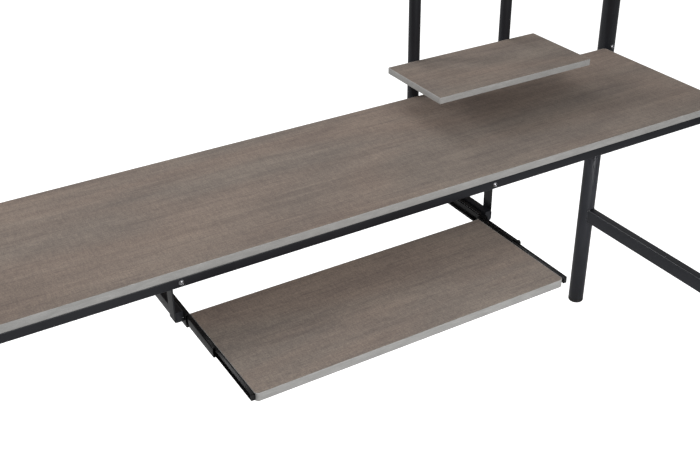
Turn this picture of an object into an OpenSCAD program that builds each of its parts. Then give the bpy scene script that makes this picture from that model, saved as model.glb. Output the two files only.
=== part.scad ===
// Long computer desk with a pull-out keyboard tray, a small raised shelf and a tube frame.
// The floor is Z = 0, the desk's middle is X = 0, and Y = 0 is the middle of the overall depth
// with the tray pulled out. A sitter faces +Y, so right is +X.

/* [Desktop] */
// Length of the desktop
desk_w = 1854; // [1700:2:2000]
// Depth of the desktop
desk_d = 374; // [370:1:400]
// Radius of the corners of the desktop
desk_r = 10; // [2:1:20]
// Height of the desktop's top face
desk_h = 740; // [725:1:760]
// Thickness of the desktop and tray boards
board_t = 15; // [12:1:18]
// Thickness of the plastic edge band
band_t = 1; // [0.5:0.5:2]

/* [Frame] */
// Diameter of the round legs and uprights
leg_d = 40; // [38:1:42]
// Wall of every frame tube
tube_wall = 1.5; // [1.2:0.1:2]
// Distance of each leg's axis outside the end of the desktop
leg_out = 25; // [24:1:30]
// Distance of the back legs' axis behind the desktop's back edge
leg_back = 21.5; // [21.5:0.5:24]
// Distance of the front legs' axis ahead of the desktop's back edge
leg_front = 470; // [450:5:500]
// Height of the front and back rails
rail_h = 18; // [16:1:20]
// Depth of the front and back rails
rail_d = 18; // [16:1:20]
// Width of the side bars between the legs
bar_w = 21; // [18:1:24]
// Height of the side bars
bar_h = 36; // [30:1:40]
// Height of the lower side bars' top face
lower_bar_top = 292; // [250:1:320]
// Radius of the foot and top caps' rounded edge
foot_round = 4; // [2:0.5:5]
// Length of the foot cap below the leg
foot_h = 12; // [8:1:20]

/* [Hutch] */
// Height of the top of the uprights
hutch_h = 1200; // [1100:10:1400]
// Height of the joint between each back leg and its upright
joint_z = 722; // [715:1:725]
// Height of the visible bolt above that joint
upright_bolt_z = 738; // [735:1:745]
// Diameter of the two shelf posts
post_d = 25; // [22:1:28]
// Distance of the first shelf post from the desk's middle
post_near_x = 389; // [380:1:420]
// Distance of the second shelf post from the desk's middle
post_far_x = 629; // [600:1:700]
// Depth of the top rail
top_rail_d = 30; // [25:1:35]
// Height of the top rail
top_rail_h = 20; // [18:1:25]

/* [Raised shelf] */
// Length of the raised shelf
shelf_w = 386; // [360:1:400]
// Depth of the raised shelf
shelf_d = 188; // [170:1:200]
// Height of the raised shelf's top face
shelf_top = 821; // [815:1:850]
// Thickness of the raised shelf's board
shelf_t = 13; // [12:0.5:16]
// Radius of the raised shelf's corners
shelf_r = 3; // [2:1:8]
// Side of the square shelf arms
arm_s = 15; // [12:1:18]

/* [Keyboard tray] */
// Width of the tray board
tray_w = 596; // [560:1:600]
// Depth of the tray board
tray_d = 246; // [240:1:260]
// Height of the tray board's top face
tray_top = 636; // [630:1:640]
// Distance that the tray stands out past the desktop's front edge when pulled out
tray_out = 223; // [200:1:230]
// Radius of the tray's front corners
tray_r = 8; // [4:1:12]
// Travel of the tray
tray_travel = 228; // [200:1:230]

/* [Slides and hangers] */
// Length of the fixed and inner slide members
slide_len = 250; // [240:1:255]
// Length of the middle slide member
middle_len = 230; // [220:1:235]
// Length of each ball cage
cage_len = 90; // [70:1:95]
// Balls in each row of a cage
cage_balls = 7; // [5:1:9]
// Height of the slides' middle line
slide_z = 632; // [628:1:634]
// Height of the fixed slide member
fixed_h = 26; // [25.6:0.1:27]
// Height of the middle slide member
middle_h = 19; // [18.8:0.1:19.2]
// Height of the inner slide member
inner_h = 12.4; // [12:0.1:12.6]
// Overall thickness of a slide
slide_t = 12.7; // [12.5:0.1:13]
// Width of the hangers
hanger_w = 15; // [14:1:20]
// Depth of the hangers' side plates
hanger_d = 25; // [22:1:28]
// Height of the underside of the hangers
hanger_bottom = 629; // [620:1:631]
// Height of the hanger bar
hanger_bar_h = 20; // [18:1:22]
// Width of the ears that bolt the hangers to the rails
ear_w = 23; // [20:1:26]
// Height of those ears
ear_h = 22; // [18:1:26]
// Thickness of the hangers' sheet
sheet = 2; // [1.5:0.5:2.5]

/* [Fasteners] */
// Diameter of the frame bolts
bolt_d = 6; // [5:0.5:6]
// Diameter of the bolt heads
bolt_head_d = 10; // [9:0.5:11]
// Height of the bolt heads
bolt_head_h = 3.4; // [3:0.1:4]
// Diameter of the wood screws
screw_d = 4; // [3.5:0.5:4]
// Diameter of the wood screws' heads
screw_head_d = 8; // [7:0.5:8]
// Distance between a nut's flat sides
nut_flats = 10; // [9:0.5:10]
// Height of a nut
nut_h = 5; // [4:0.5:5]

/* [Hidden] */
$fn = 64;
LEFT = -1;
RIGHT = 1;
SIDES = [LEFT, RIGHT];
// Extra length of a cutting tool past the face that it cuts
over = 1;
// Radial room round a bolt, and round a screw or rivet
bolt_gap = 0.2;
screw_gap = 0.1;
// Room between a plug or sleeve and the tube that it sits in
plug_gap = 0.2;
// Room between a screw's tip and the end of its pilot hole
tip_gap = 1;
// Length of a bolt past its nut
bolt_past = 2;

leg_r = leg_d / 2;
leg_x = desk_w / 2 + leg_out;
// Y of the desktop's back edge in the part's frame
back_y = (desk_d + tray_out - leg_back - leg_r) / 2;
under_z = desk_h - board_t;
rail_z = under_z - rail_h;
rail_mid_z = under_z - rail_h / 2;
front_rail_y = -desk_d;
back_rail_y = -rail_d;
// The rails end this far outside the legs' axes
rail_past = 1;
rail_end = leg_x + rail_past;
// Distance from a rail's end to its frame bolt
frame_bolt_inset = 6.5;
frame_bolt_x = rail_end - frame_bolt_inset;
top_bar_z = rail_z - bar_h;
lower_bar_z = lower_bar_top - bar_h;
cap_h = 8;
plug_h = 14;
sleeve_z = [joint_z - 80, joint_z + 50];
lower_bolt_z = top_bar_z - 16;
leg_bolt_len = 14;
sleeve_wall = 2;

post_r = post_d / 2;
post_foot_z = rail_z - 6;
// The top rail hangs this far below the tops of the uprights
top_rail_drop = 20;
top_rail_z = hutch_h - top_rail_h - top_rail_drop;
top_rail_y = 2;
nut_block = [24, 18, 14];
// Room between a leg's wall and the threaded block inside the top rail
nut_block_gap = 2;
insert_h = 12;

shelf_x = (post_near_x + post_far_x) / 2;
shelf_z = shelf_top - shelf_t;
arm_len = 150;
cross_x = [-desk_w / 4, 0, desk_w / 4];
desk_screw_x = [-850, -520, -160, 160, 520, 850];
// Wood left above the pilot holes in the desktop and the shelf
pilot_roof = 4;

tray_front_y = -desk_d - tray_out;
tray_z = tray_top - board_t;
// Room between the slide members' fronts and the tray's front edge
slide_setback = 1;
inner_y = tray_front_y + slide_setback;
// The fixed member starts this far behind the inner member when the tray is in
fixed_lag = 4;
fixed_y = inner_y + tray_travel + fixed_lag;
// The middle member stands this far behind the fixed member's front when the tray is in
middle_lag = 12;
middle_y = fixed_y + middle_lag - tray_travel / 2;
outer_cage_y = (fixed_y + middle_y + middle_len - cage_len) / 2;
inner_cage_y = (middle_y + inner_y + slide_len - cage_len) / 2;

// Slide section, measured outwards from the tray's edge (u) and from the slide's middle line (v)
member_t = 1.2;
middle_t = 1;
fixed_lip_u = 4;
middle_u = [3.5, 10.3];
inner_lip_u = 7.5;
cage_t = 0.5;
outer_cage_u = (middle_u[1] + slide_t - member_t - cage_t) / 2;
inner_cage_u = (inner_lip_u + middle_u[1] - middle_t - cage_t) / 2;
outer_ball_v = (middle_h / 2 + fixed_h / 2 - member_t) / 2;
inner_ball_v = (inner_h / 2 + middle_h / 2 - middle_t) / 2;
ball_room = 0.25;
outer_ball_r = (fixed_h / 2 - member_t - middle_h / 2) / 2 - ball_room;
inner_ball_r = (middle_h / 2 - middle_t - inner_h / 2) / 2 - ball_room;
rivet_y = [for (y = [10, 200, 230]) fixed_y + y];
rivet_z = slide_z + 5;
rivet_head_d = 6;
rivet_head_h = 0.7;
tray_screw_y = [for (y = [20, 125, 228]) inner_y + y];
tray_screw_z = slide_z - 2.5;
tray_screw_d = 3;
tray_screw_head_d = 4.4;
tray_screw_head_h = 1.6;
tray_pilot = 14;

hanger_x = tray_w / 2 + slide_t;
ear_x = hanger_x + hanger_w - ear_w;
hanger_bolt_x = ear_x + ear_w / 2;
hanger_front_y = front_rail_y + rail_d;
hanger_rear_y = back_rail_y;
hanger_bar_w = hanger_w - sheet;
// Room between the hangers' top ends and the desktop's underside
hanger_gap = 1;
hanger_top = under_z - hanger_gap;

black = [0.13, 0.135, 0.14];
slide_black = [0.07, 0.07, 0.075];
laminate = [0.45, 0.41, 0.38];
band_grey = [0.6, 0.6, 0.58];
zinc = [0.75, 0.75, 0.77];
cap_black = [0.09, 0.09, 0.09];

// Geometry below is written with Y = 0 at the desktop's back edge, and this moves it into place.
module at_desk() {
    translate([0, back_y, 0]) children();
}

// Mirrors a right-hand shape to the left side.
module on_side(side) {
    if (side == LEFT) mirror([1, 0, 0]) children();
    else children();
}

// A box given by two opposite corners.
module block(low, high) {
    translate(low) cube(high - low);
}

// A rectangular tube between two corners, open along axis 0, 1 or 2.
module box_tube(low, high, axis, wall = tube_wall) {
    inset = [for (i = [0:2]) i == axis ? -over : wall];
    difference() {
        block(low, high);
        block(low + inset, high - inset);
    }
}

// A round tube standing on z0.
module pipe(r, z0, z1, wall = tube_wall) {
    translate([0, 0, z0]) difference() {
        cylinder(r = r, h = z1 - z0);
        translate([0, 0, -over]) cylinder(r = r - wall, h = z1 - z0 + 2 * over);
    }
}

// Turns +Z to the given direction: "front", "back", "down", "up", "left" or "right".
module facing(way) {
    turn = way == "front" ? [90, 0, 0]
        : way == "back" ? [-90, 0, 0]
        : way == "down" ? [180, 0, 0]
        : way == "left" ? [0, -90, 0]
        : way == "right" ? [0, 90, 0]
        : [0, 0, 0];
    rotate(turn) children();
}

// A bolt whose domed head stands on Z = 0 and whose shank runs down to -length.
module bolt(length, d = bolt_d, head_d = bolt_head_d, head_h = bolt_head_h) {
    dome_r = (head_d * head_d / 4 + head_h * head_h) / (2 * head_h);
    dome_angle = asin(head_d / 2 / dome_r);
    dome = [for (i = [0:4]) let (a = dome_angle * (1 - i / 5))
        [dome_r * sin(a), head_h - dome_r * (1 - cos(a))]];
    tip = 0.6;
    shank = [[0, -length], [d / 2 - tip, -length], [d / 2, tip - length], [d / 2, 0]];
    difference() {
        rotate_extrude() polygon(concat(shank, dome, [[0, head_h]]));
        translate([0, 0, head_h * 0.45]) cylinder(r = head_d * 0.225, h = head_h, $fn = 6);
    }
}

// A pan-head wood screw or rivet of the same form, without a recess.
module screw(length, d = screw_d, head_d = screw_head_d, head_h = 2.2) {
    cylinder(r1 = head_d / 2, r2 = head_d / 2 - head_h * 0.6, h = head_h);
    translate([0, 0, -length]) cylinder(r = d / 2, h = length + head_h / 2);
}

// A hex nut lying on Z = 0.
module hex_nut(flats = nut_flats, h = nut_h) {
    difference() {
        cylinder(r = flats / sqrt(3), h = h, $fn = 6);
        translate([0, 0, -over]) cylinder(r = bolt_d / 2 + bolt_gap / 2, h = h + 2 * over);
    }
}

// A straight hole of radius r from one point, in a direction, over a length.
module hole(at, way, r, length) {
    translate(at) facing(way) translate([0, 0, -over]) cylinder(r = r, h = length + 2 * over);
}

// An outline in X and Y whose two front corners are rounded.
module board_outline(low, high, front_r, back_r) {
    translate([low[0], low[1] + front_r])
        square([high[0] - low[0], high[1] - low[1] - front_r - back_r]);
    if (front_r > 0) {
        translate([low[0] + front_r, low[1]]) square([high[0] - low[0] - 2 * front_r, front_r + over]);
        for (x = [low[0] + front_r, high[0] - front_r])
            translate([x, low[1] + front_r]) circle(r = front_r);
    }
    if (back_r > 0) {
        translate([low[0] + back_r, high[1] - back_r - over])
            square([high[0] - low[0] - 2 * back_r, back_r + over]);
        for (x = [low[0] + back_r, high[0] - back_r])
            translate([x, high[1] - back_r]) circle(r = back_r);
    }
}

// The outline inside the edge band.
module core_outline(low, high, front_r, back_r) {
    inset = [band_t, band_t];
    board_outline(low + inset, high - inset, max(front_r - band_t, 0), max(back_r - band_t, 0));
}

// The board inside its edge band.
module board(low, high, z, thick, front_r, back_r) {
    translate([0, 0, z]) linear_extrude(thick) core_outline(low, high, front_r, back_r);
}

// The band round the board.
module edge_band(low, high, z, thick, front_r, back_r) {
    translate([0, 0, z]) linear_extrude(thick) difference() {
        board_outline(low, high, front_r, back_r);
        core_outline(low, high, front_r, back_r);
    }
}

// ---- Desktop ----

desk_low = [-desk_w / 2, -desk_d];
desk_high = [desk_w / 2, 0];
desk_pilot = board_t - pilot_roof;

// Places its children at each desktop screw, on the underside of the rails.
module each_desk_screw() {
    for (x = desk_screw_x) for (y = [front_rail_y + rail_d / 2, back_rail_y + rail_d / 2])
        translate([x, y, rail_z]) children();
}

module desktop_panel() {
    color(laminate) at_desk() difference() {
        board(desk_low, desk_high, under_z, board_t, desk_r, desk_r);
        each_desk_screw() translate([0, 0, rail_h - over])
            cylinder(r = screw_d / 2 + screw_gap, h = desk_pilot + over);
    }
}

module desktop_edge_band() {
    color(band_grey) at_desk() edge_band(desk_low, desk_high, under_z, board_t, desk_r, desk_r);
}

module desktop_screws() {
    color(zinc) at_desk() each_desk_screw() facing("down") screw(rail_h + desk_pilot - tip_gap);
}

// ---- Long rails ----

// A rail's tube with the holes that both rails share.
module long_rail(y) {
    mid_y = y + rail_d / 2;
    difference() {
        box_tube([-rail_end, y, rail_z], [rail_end, y + rail_d, under_z], 0);
        for (x = desk_screw_x)
            hole([x, mid_y, rail_z], "up", screw_d / 2 + screw_gap, rail_h);
        for (s = SIDES) hole([s * frame_bolt_x, mid_y, rail_z], "up", bolt_d / 2 + bolt_gap, tube_wall);
        for (s = SIDES)
            hole([s * hanger_bolt_x, y, rail_mid_z], "back", bolt_d / 2 + bolt_gap, rail_d);
    }
}

module front_rail() {
    color(black) at_desk() long_rail(front_rail_y);
}

module back_rail() {
    color(black) at_desk() difference() {
        long_rail(back_rail_y);
        for (x = [post_near_x, post_far_x])
            hole([x, back_rail_y, rail_mid_z], "back", bolt_d / 2 + bolt_gap, rail_d);
    }
}

// A thin plastic plug in each end of the two rails.
module rail_end_caps() {
    lip = 1.2;
    reach = 3;
    slack = tube_wall + plug_gap;
    color(cap_black) at_desk() for (s = SIDES) on_side(s) for (y = [front_rail_y, back_rail_y]) {
        block([rail_end, y, rail_z], [rail_end + lip, y + rail_d, under_z]);
        block([rail_end - reach, y + slack, rail_z + slack],
            [rail_end + lip / 2, y + rail_d - slack, under_z - slack]);
    }
}

module cross_bar(x) {
    half = rail_d / 2;
    color(black) at_desk()
        box_tube([x - half, front_rail_y + rail_d, rail_z], [x + half, back_rail_y, under_z], 1);
}

module left_cross_bar() {
    cross_bar(cross_x[0]);
}

module middle_cross_bar() {
    cross_bar(cross_x[1]);
}

module right_cross_bar() {
    cross_bar(cross_x[2]);
}

// ---- Side frames ----

// Solid rods where the legs stand, used to cope the bars that meet them.
module leg_rods(side) {
    for (y = [leg_back, -leg_front]) translate([side * leg_x, y, 0]) cylinder(r = leg_r, h = hutch_h);
}

// A bar from the back leg to the front leg with its bottom at z.
module side_bar(side, z) {
    x = side * leg_x;
    difference() {
        box_tube([x - bar_w / 2, -leg_front, z], [x + bar_w / 2, leg_back, z + bar_h], 1);
        leg_rods(side);
    }
}

module top_bar(side) {
    color(black) at_desk() difference() {
        side_bar(side, top_bar_z);
        for (y = [front_rail_y + rail_d / 2, back_rail_y + rail_d / 2])
            hole([side * frame_bolt_x, y, top_bar_z], "up", bolt_d / 2 + bolt_gap, bar_h);
    }
}

module left_top_bar() {
    top_bar(LEFT);
}

module right_top_bar() {
    top_bar(RIGHT);
}

module left_lower_bar() {
    color(black) at_desk() side_bar(LEFT, lower_bar_z);
}

module right_lower_bar() {
    color(black) at_desk() side_bar(RIGHT, lower_bar_z);
}

module front_leg(side) {
    color(black) at_desk() translate([side * leg_x, -leg_front, 0])
        pipe(leg_r, foot_h, desk_h - cap_h);
}

module left_front_leg() {
    front_leg(LEFT);
}

module right_front_leg() {
    front_leg(RIGHT);
}

// The hole for a bolt in the front wall of a back leg, upright or sleeve.
module front_bolt_hole(z, gap = bolt_gap) {
    hole([0, 0, z], "front", bolt_d / 2 + gap, leg_r);
}

module back_leg(side) {
    color(black) at_desk() translate([side * leg_x, leg_back, 0]) difference() {
        pipe(leg_r, foot_h, joint_z);
        front_bolt_hole(lower_bolt_z);
    }
}

module left_back_leg() {
    back_leg(LEFT);
}

module right_back_leg() {
    back_leg(RIGHT);
}

module upright(side) {
    color(black) at_desk() translate([side * leg_x, leg_back, 0]) difference() {
        pipe(leg_r, joint_z, hutch_h - cap_h);
        front_bolt_hole(upright_bolt_z);
        hole([-leg_r, 0, top_rail_z + top_rail_h / 2], "right", bolt_d / 2 + bolt_gap, leg_d);
    }
}

module left_upright() {
    upright(LEFT);
}

module right_upright() {
    upright(RIGHT);
}

module leg_sleeve(side) {
    color(zinc) at_desk() translate([side * leg_x, leg_back, 0]) difference() {
        pipe(leg_r - tube_wall - plug_gap, sleeve_z[0], sleeve_z[1], sleeve_wall);
        front_bolt_hole(lower_bolt_z, bolt_gap / 2);
        front_bolt_hole(upright_bolt_z, bolt_gap / 2);
    }
}

module left_leg_sleeve() {
    leg_sleeve(LEFT);
}

module right_leg_sleeve() {
    leg_sleeve(RIGHT);
}

// A plug with a rounded rim: its rim stands on Z = 0 and its stem goes up into the tube.
module rounded_plug(h, round_r) {
    rim = [for (a = [-90:15:0]) [leg_r - round_r + round_r * cos(a), round_r + round_r * sin(a)]];
    rotate_extrude() polygon(concat([[0, 0]], rim, [[leg_r, h], [0, h]]));
    translate([0, 0, h - over]) cylinder(r = leg_r - tube_wall - plug_gap, h = plug_h + over);
}

module foot_caps() {
    color(cap_black) at_desk() for (s = SIDES) for (y = [leg_back, -leg_front])
        translate([s * leg_x, y, 0]) rounded_plug(foot_h, foot_round);
}

module leg_top_caps() {
    color(cap_black) at_desk() for (s = SIDES) {
        translate([s * leg_x, -leg_front, desk_h]) facing("down") rounded_plug(cap_h, foot_round);
        translate([s * leg_x, leg_back, hutch_h]) facing("down") rounded_plug(cap_h, foot_round);
    }
}

module frame_bolts() {
    color(zinc) at_desk() for (s = SIDES) for (y = [front_rail_y + rail_d / 2, back_rail_y + rail_d / 2])
        translate([s * frame_bolt_x, y, top_bar_z]) facing("down") bolt(bar_h + rail_h / 2);
}

module leg_bolts() {
    color(zinc) at_desk() for (s = SIDES) for (z = [lower_bolt_z, upright_bolt_z])
        translate([s * leg_x, leg_back - leg_r, z]) facing("front") bolt(leg_bolt_len);
}

// ---- Hutch ----

module shelf_post(x) {
    color(black) at_desk() translate([x, post_r, 0]) difference() {
        pipe(post_r, post_foot_z, top_rail_z);
        hole([0, -post_r, rail_mid_z], "back", bolt_d / 2 + bolt_gap, post_d);
    }
}

module left_shelf_post() {
    shelf_post(post_near_x);
}

module right_shelf_post() {
    shelf_post(post_far_x);
}

module top_rail() {
    color(black) at_desk() difference() {
        box_tube([-leg_x, top_rail_y, top_rail_z],
            [leg_x, top_rail_y + top_rail_d, top_rail_z + top_rail_h], 0);
        for (s = SIDES) leg_rods(s);
        for (x = [post_near_x, post_far_x])
            hole([x, post_r, top_rail_z], "up", bolt_d / 2 + bolt_gap, top_rail_h);
    }
}

// Threaded blocks inside the top rail's ends.
module top_rail_nuts() {
    at = [leg_x - leg_r - nut_block[0] - nut_block_gap, leg_back - nut_block[1] / 2,
        top_rail_z + (top_rail_h - nut_block[2]) / 2];
    color(zinc) at_desk() for (s = SIDES) on_side(s) difference() {
        translate(at) cube(nut_block);
        hole([at[0], leg_back, top_rail_z + top_rail_h / 2], "right",
            bolt_d / 2 + bolt_gap / 2, nut_block[0]);
    }
}

// Threaded inserts in the tops of the shelf posts.
module post_inserts() {
    color(zinc) at_desk() for (x = [post_near_x, post_far_x]) translate([x, post_r, top_rail_z - insert_h])
        difference() {
            cylinder(r = post_r - tube_wall, h = insert_h);
            hole([0, 0, 0], "up", bolt_d / 2 + bolt_gap / 2, insert_h);
        }
}

module hutch_bolts() {
    block_end = leg_d + nut_block_gap + nut_block[0];
    post_nut_end = post_d + rail_d + nut_h;
    color(zinc) at_desk() {
        for (x = [post_near_x, post_far_x]) {
            translate([x, post_d, rail_mid_z]) facing("back") bolt(post_nut_end + bolt_past);
            translate([x, post_r, top_rail_z + top_rail_h]) bolt(top_rail_h + insert_h - tip_gap);
        }
        for (s = SIDES) on_side(s) translate([leg_x + leg_r, leg_back, top_rail_z + top_rail_h / 2])
            facing("right") bolt(block_end - tip_gap);
    }
}

module hutch_nuts() {
    color(zinc) at_desk() for (x = [post_near_x, post_far_x])
        translate([x, back_rail_y, rail_mid_z]) facing("front") hex_nut();
}

// ---- Raised shelf ----

shelf_low = [shelf_x - shelf_w / 2, -shelf_d];
shelf_high = [shelf_x + shelf_w / 2, 0];
shelf_pilot = shelf_t - pilot_roof;
arm_screw_y = [-40, -130];

module each_shelf_screw() {
    for (x = [post_near_x, post_far_x]) for (y = arm_screw_y) translate([x, y, shelf_z - arm_s]) children();
}

module shelf_panel() {
    color(laminate) at_desk() difference() {
        board(shelf_low, shelf_high, shelf_z, shelf_t, shelf_r, shelf_r);
        each_shelf_screw() translate([0, 0, arm_s - over])
            cylinder(r = screw_d / 2 + screw_gap, h = shelf_pilot + over);
    }
}

module shelf_edge_band() {
    color(band_grey) at_desk() edge_band(shelf_low, shelf_high, shelf_z, shelf_t, shelf_r, shelf_r);
}

// A square arm welded to a post, under the shelf, with its front end closed.
module shelf_arm(x) {
    half = arm_s / 2;
    low = [x - half, -arm_len, shelf_z - arm_s];
    high = [x + half, post_r, shelf_z];
    color(black) at_desk() difference() {
        block(low, high);
        block(low + [tube_wall, tube_wall, tube_wall], high - [tube_wall, -over, tube_wall]);
        translate([x, post_r, 0]) cylinder(r = post_r, h = hutch_h);
        for (y = arm_screw_y) hole([x, y, shelf_z - arm_s], "up", screw_d / 2 + screw_gap, arm_s);
    }
}

module left_shelf_arm() {
    shelf_arm(post_near_x);
}

module right_shelf_arm() {
    shelf_arm(post_far_x);
}

module shelf_screws() {
    color(zinc) at_desk() each_shelf_screw() facing("down") screw(arm_s + shelf_pilot - tip_gap);
}

// ---- Tray hangers ----

// A plate along the bar's outer face, with an ear at its top turned in against a rail's face at Y = face.
module hanger_plate(side, face, deep) {
    ear_y = deep > 0 ? face : face - sheet;
    plate_y = deep > 0 ? face : face - hanger_d;
    color(black) at_desk() on_side(side) difference() {
        union() {
            block([ear_x, ear_y, hanger_top - ear_h], [ear_x + ear_w, ear_y + sheet, hanger_top]);
            block([hanger_x + hanger_w - sheet, plate_y, hanger_bottom],
                [hanger_x + hanger_w, plate_y + hanger_d, hanger_top]);
        }
        hole([hanger_bolt_x, ear_y, rail_mid_z], "back", bolt_d / 2 + bolt_gap, sheet);
    }
}

module left_hanger_front() {
    hanger_plate(LEFT, hanger_front_y, 1);
}

module right_hanger_front() {
    hanger_plate(RIGHT, hanger_front_y, 1);
}

module left_hanger_rear() {
    hanger_plate(LEFT, hanger_rear_y, -1);
}

module right_hanger_rear() {
    hanger_plate(RIGHT, hanger_rear_y, -1);
}

module hanger_bar(side) {
    color(black) at_desk() on_side(side) difference() {
        box_tube([hanger_x, hanger_front_y, hanger_bottom],
            [hanger_x + hanger_bar_w, hanger_rear_y, hanger_bottom + hanger_bar_h], 1);
        for (y = rivet_y) hole([hanger_x, y, rivet_z], "right", screw_d / 2 + screw_gap, tube_wall);
    }
}

module left_hanger_bar() {
    hanger_bar(LEFT);
}

module right_hanger_bar() {
    hanger_bar(RIGHT);
}

module hanger_bolts() {
    grip = rail_d + sheet + nut_h + bolt_past;
    color(zinc) at_desk() for (s = SIDES) {
        translate([s * hanger_bolt_x, front_rail_y, rail_mid_z]) facing("front") bolt(grip);
        translate([s * hanger_bolt_x, 0, rail_mid_z]) facing("back") bolt(grip);
    }
}

module hanger_nuts() {
    color(zinc) at_desk() for (s = SIDES) {
        translate([s * hanger_bolt_x, hanger_front_y + sheet, rail_mid_z]) facing("back") hex_nut();
        translate([s * hanger_bolt_x, hanger_rear_y - sheet, rail_mid_z]) facing("front") hex_nut();
    }
}

// ---- Slides ----

// Carries a slide piece drawn with X as u and Z as v to its side, starting at y.
module at_slide(side, y) {
    at_desk() on_side(side) translate([tray_w / 2, y, slide_z]) children();
}

// A channel with its web at one end of u and its flanges above and below.
module channel(u, h, web_at_high, wall, length) {
    web = web_at_high ? [u[1] - wall, u[1]] : [u[0], u[0] + wall];
    block([web[0], 0, -h / 2], [web[1], length, h / 2]);
    block([u[0], 0, h / 2 - wall], [u[1], length, h / 2]);
    block([u[0], 0, -h / 2], [u[1], length, -h / 2 + wall]);
}

module fixed_slide(side) {
    tab = [slide_t - fixed_lip_u, 2, 4];
    color(slide_black) at_slide(side, fixed_y) difference() {
        union() {
            channel([fixed_lip_u, slide_t], fixed_h, true, member_t, slide_len);
            // Bent stop tab at the back end
            translate([fixed_lip_u, slide_len - tab[1], -fixed_h / 2]) cube(tab);
        }
        for (y = rivet_y)
            hole([slide_t - member_t, y - fixed_y, rivet_z - slide_z], "right",
                screw_d / 2 + screw_gap, member_t);
    }
}

module left_fixed_slide() {
    fixed_slide(LEFT);
}

module right_fixed_slide() {
    fixed_slide(RIGHT);
}

// Flat rivets that hold the fixed members to the hanger bars.
module slide_rivets() {
    color(zinc) for (s = SIDES) for (y = rivet_y)
        at_slide(s, y) translate([slide_t - member_t, 0, rivet_z - slide_z])
            facing("left") screw(member_t + tube_wall + 2, screw_d, rivet_head_d, rivet_head_h);
}

module middle_slide(side) {
    stop_len = 5;
    stop_inset = 1;
    stop_top = fixed_h / 2 - member_t - 0.4;
    color(slide_black) at_slide(side, middle_y) {
        channel(middle_u, middle_h, true, middle_t, middle_len);
        // Stop lug at the front end
        block([middle_u[0] + stop_inset, 0, middle_h / 2 - middle_t],
            [middle_u[1] - stop_inset, stop_len, stop_top]);
    }
}

module left_middle_slide() {
    middle_slide(LEFT);
}

module right_middle_slide() {
    middle_slide(RIGHT);
}

// A folded strip that carries two rows of balls, one above and one below the member inside it.
module ball_cage(web_u, lip_u, ball_v, ball_r) {
    pitch = cage_len / cage_balls;
    ball_u = (web_u + lip_u) / 2;
    block([web_u, 0, -ball_v], [web_u + cage_t, cage_len, ball_v]);
    for (s = [-1, 1]) {
        v = s * ball_v;
        block([lip_u, 0, v - cage_t / 2], [web_u + cage_t, cage_len, v + cage_t / 2]);
        for (i = [0:cage_balls - 1]) translate([ball_u, (i + 0.5) * pitch, v]) sphere(r = ball_r);
    }
}

module outer_cage(side) {
    color(zinc) at_slide(side, outer_cage_y)
        ball_cage(outer_cage_u, fixed_lip_u + 1, outer_ball_v, outer_ball_r);
}

module inner_cage(side) {
    color(zinc) at_slide(side, inner_cage_y)
        ball_cage(inner_cage_u, middle_u[0], inner_ball_v, inner_ball_r);
}

module left_outer_cage() {
    outer_cage(LEFT);
}

module right_outer_cage() {
    outer_cage(RIGHT);
}

module left_inner_cage() {
    inner_cage(LEFT);
}

module right_inner_cage() {
    inner_cage(RIGHT);
}

module inner_slide(side) {
    color(slide_black) at_slide(side, inner_y) difference() {
        union() {
            channel([0, inner_lip_u], inner_h, false, member_t, slide_len);
            // Closed front end
            block([0, 0, -inner_h / 2], [inner_lip_u, member_t, inner_h / 2]);
        }
        for (y = tray_screw_y)
            hole([0, y - inner_y, tray_screw_z - slide_z], "right",
                tray_screw_d / 2 + screw_gap, member_t);
    }
}

module left_inner_slide() {
    inner_slide(LEFT);
}

module right_inner_slide() {
    inner_slide(RIGHT);
}

// ---- Keyboard tray ----

tray_low = [-tray_w / 2, tray_front_y];
tray_high = [tray_w / 2, tray_front_y + tray_d];

// The pilot holes in the tray's side edges.
module tray_pilots() {
    for (s = SIDES) on_side(s) for (y = tray_screw_y)
        hole([tray_w / 2, y, tray_screw_z], "left", tray_screw_d / 2 + screw_gap, tray_pilot);
}

module tray_panel() {
    color(laminate) at_desk() difference() {
        board(tray_low, tray_high, tray_z, board_t, tray_r, 0);
        tray_pilots();
    }
}

module tray_edge_band() {
    color(band_grey) at_desk() difference() {
        edge_band(tray_low, tray_high, tray_z, board_t, tray_r, 0);
        tray_pilots();
    }
}

module tray_screws() {
    color(zinc) for (s = SIDES) for (y = tray_screw_y)
        at_slide(s, y) translate([member_t, 0, tray_screw_z - slide_z])
            facing("right") screw(tray_pilot + member_t - tip_gap,
                tray_screw_d, tray_screw_head_d, tray_screw_head_h);
}

desktop_panel();
desktop_edge_band();
front_rail();
back_rail();
rail_end_caps();
left_cross_bar();
middle_cross_bar();
right_cross_bar();
left_top_bar();
right_top_bar();
left_lower_bar();
right_lower_bar();
left_front_leg();
right_front_leg();
left_back_leg();
right_back_leg();
left_upright();
right_upright();
left_leg_sleeve();
right_leg_sleeve();
foot_caps();
leg_top_caps();
left_shelf_post();
right_shelf_post();
top_rail();
top_rail_nuts();
post_inserts();
shelf_panel();
shelf_edge_band();
left_shelf_arm();
right_shelf_arm();
shelf_screws();
desktop_screws();
frame_bolts();
leg_bolts();
hutch_bolts();
hutch_nuts();
left_hanger_front();
left_hanger_rear();
left_hanger_bar();
right_hanger_front();
right_hanger_rear();
right_hanger_bar();
hanger_bolts();
hanger_nuts();
left_fixed_slide();
right_fixed_slide();
slide_rivets();
left_middle_slide();
right_middle_slide();
left_outer_cage();
right_outer_cage();
left_inner_cage();
right_inner_cage();
left_inner_slide();
right_inner_slide();
tray_panel();
tray_edge_band();
tray_screws();
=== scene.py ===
"""Long computer desk with a pull-out keyboard tray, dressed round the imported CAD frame.

Lengths are metres. +X is to the sitter's right, +Y is to the back and +Z is up.
"""
import functools
import math

import bmesh
import bpy
from mathutils import Euler, Matrix, Vector


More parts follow.
